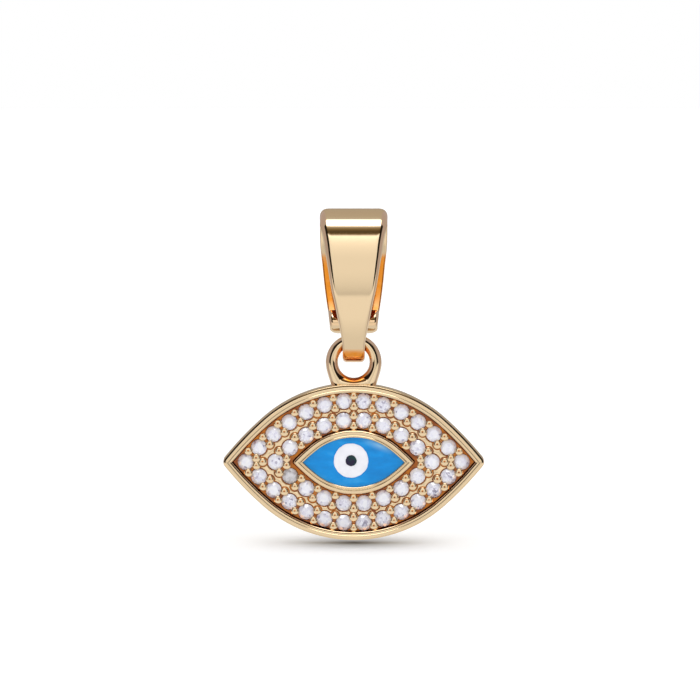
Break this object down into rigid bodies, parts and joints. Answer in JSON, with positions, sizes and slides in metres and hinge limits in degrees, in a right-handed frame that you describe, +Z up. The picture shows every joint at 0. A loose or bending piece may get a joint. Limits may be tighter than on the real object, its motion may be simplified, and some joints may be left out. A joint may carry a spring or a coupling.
{
  "type": "evil eye pendant",
  "caption": "Gold-plated eye pendant set with clear stones round a blue, white and black enamel iris, hung by its ring from a folded tapering chain bail.",
  "frame": {"origin": "the crown inside the bail's fold, midway along it, where the necklace chain bears", "axes": "+Z up as the pendant hangs, +X along the chain, -Y towards the front of the eye"},
  "size_m": [0.02, 0.0049, 0.0255],
  "materials": {
    "gold_plate": "gold-plated brass, polished",
    "crystal": "faceted clear crystal",
    "enamel_blue": "gloss enamel",
    "enamel_white": "gloss enamel",
    "enamel_pupil": "gloss enamel"
  },
  "bodies": {
    "bail": {"bail": "gold_plate"},
    "eye": {"eye_frame": "gold_plate", "stone_outer_01": "crystal", "stone_outer_02": "crystal", "stone_outer_03": "crystal", "stone_outer_04": "crystal", "stone_outer_05": "crystal", "stone_outer_06": "crystal", "stone_outer_07": "crystal", "stone_outer_08": "crystal", "stone_outer_09": "crystal", "stone_outer_10": "crystal", "stone_outer_11": "crystal", "stone_outer_12": "crystal", "stone_outer_13": "crystal", "stone_outer_14": "crystal", "stone_outer_15": "crystal", "stone_outer_16": "crystal", "stone_outer_17": "crystal", "stone_outer_18": "crystal", "stone_outer_19": "crystal", "stone_outer_20": "crystal", "stone_outer_21": "crystal", "stone_outer_22": "crystal", "stone_outer_23": "crystal", "stone_outer_24": "crystal", "stone_outer_25": "crystal", "stone_outer_26": "crystal", "stone_inner_01": "crystal", "stone_inner_02": "crystal", "stone_inner_03": "crystal", "stone_inner_04": "crystal", "stone_inner_05": "crystal", "stone_inner_06": "crystal", "stone_inner_07": "crystal", "stone_inner_08": "crystal", "stone_inner_09": "crystal", "stone_inner_10": "crystal", "stone_inner_11": "crystal", "stone_inner_12": "crystal", "stone_inner_13": "crystal", "stone_inner_14": "crystal", "stone_inner_15": "crystal", "stone_inner_16": "crystal", "stone_inner_17": "crystal", "stone_inner_18": "crystal", "enamel_blue": "enamel_blue", "enamel_white": "enamel_white", "enamel_pupil": "enamel_pupil"}
  },
  "joints": [
    {"name": "eye_swing", "type": "hinge", "parent": "bail", "child": "eye", "pos_m": [0, -0.00007, -0.00935], "axis": [1, 0, 0], "range_deg": [-75, 75]}
  ]
}
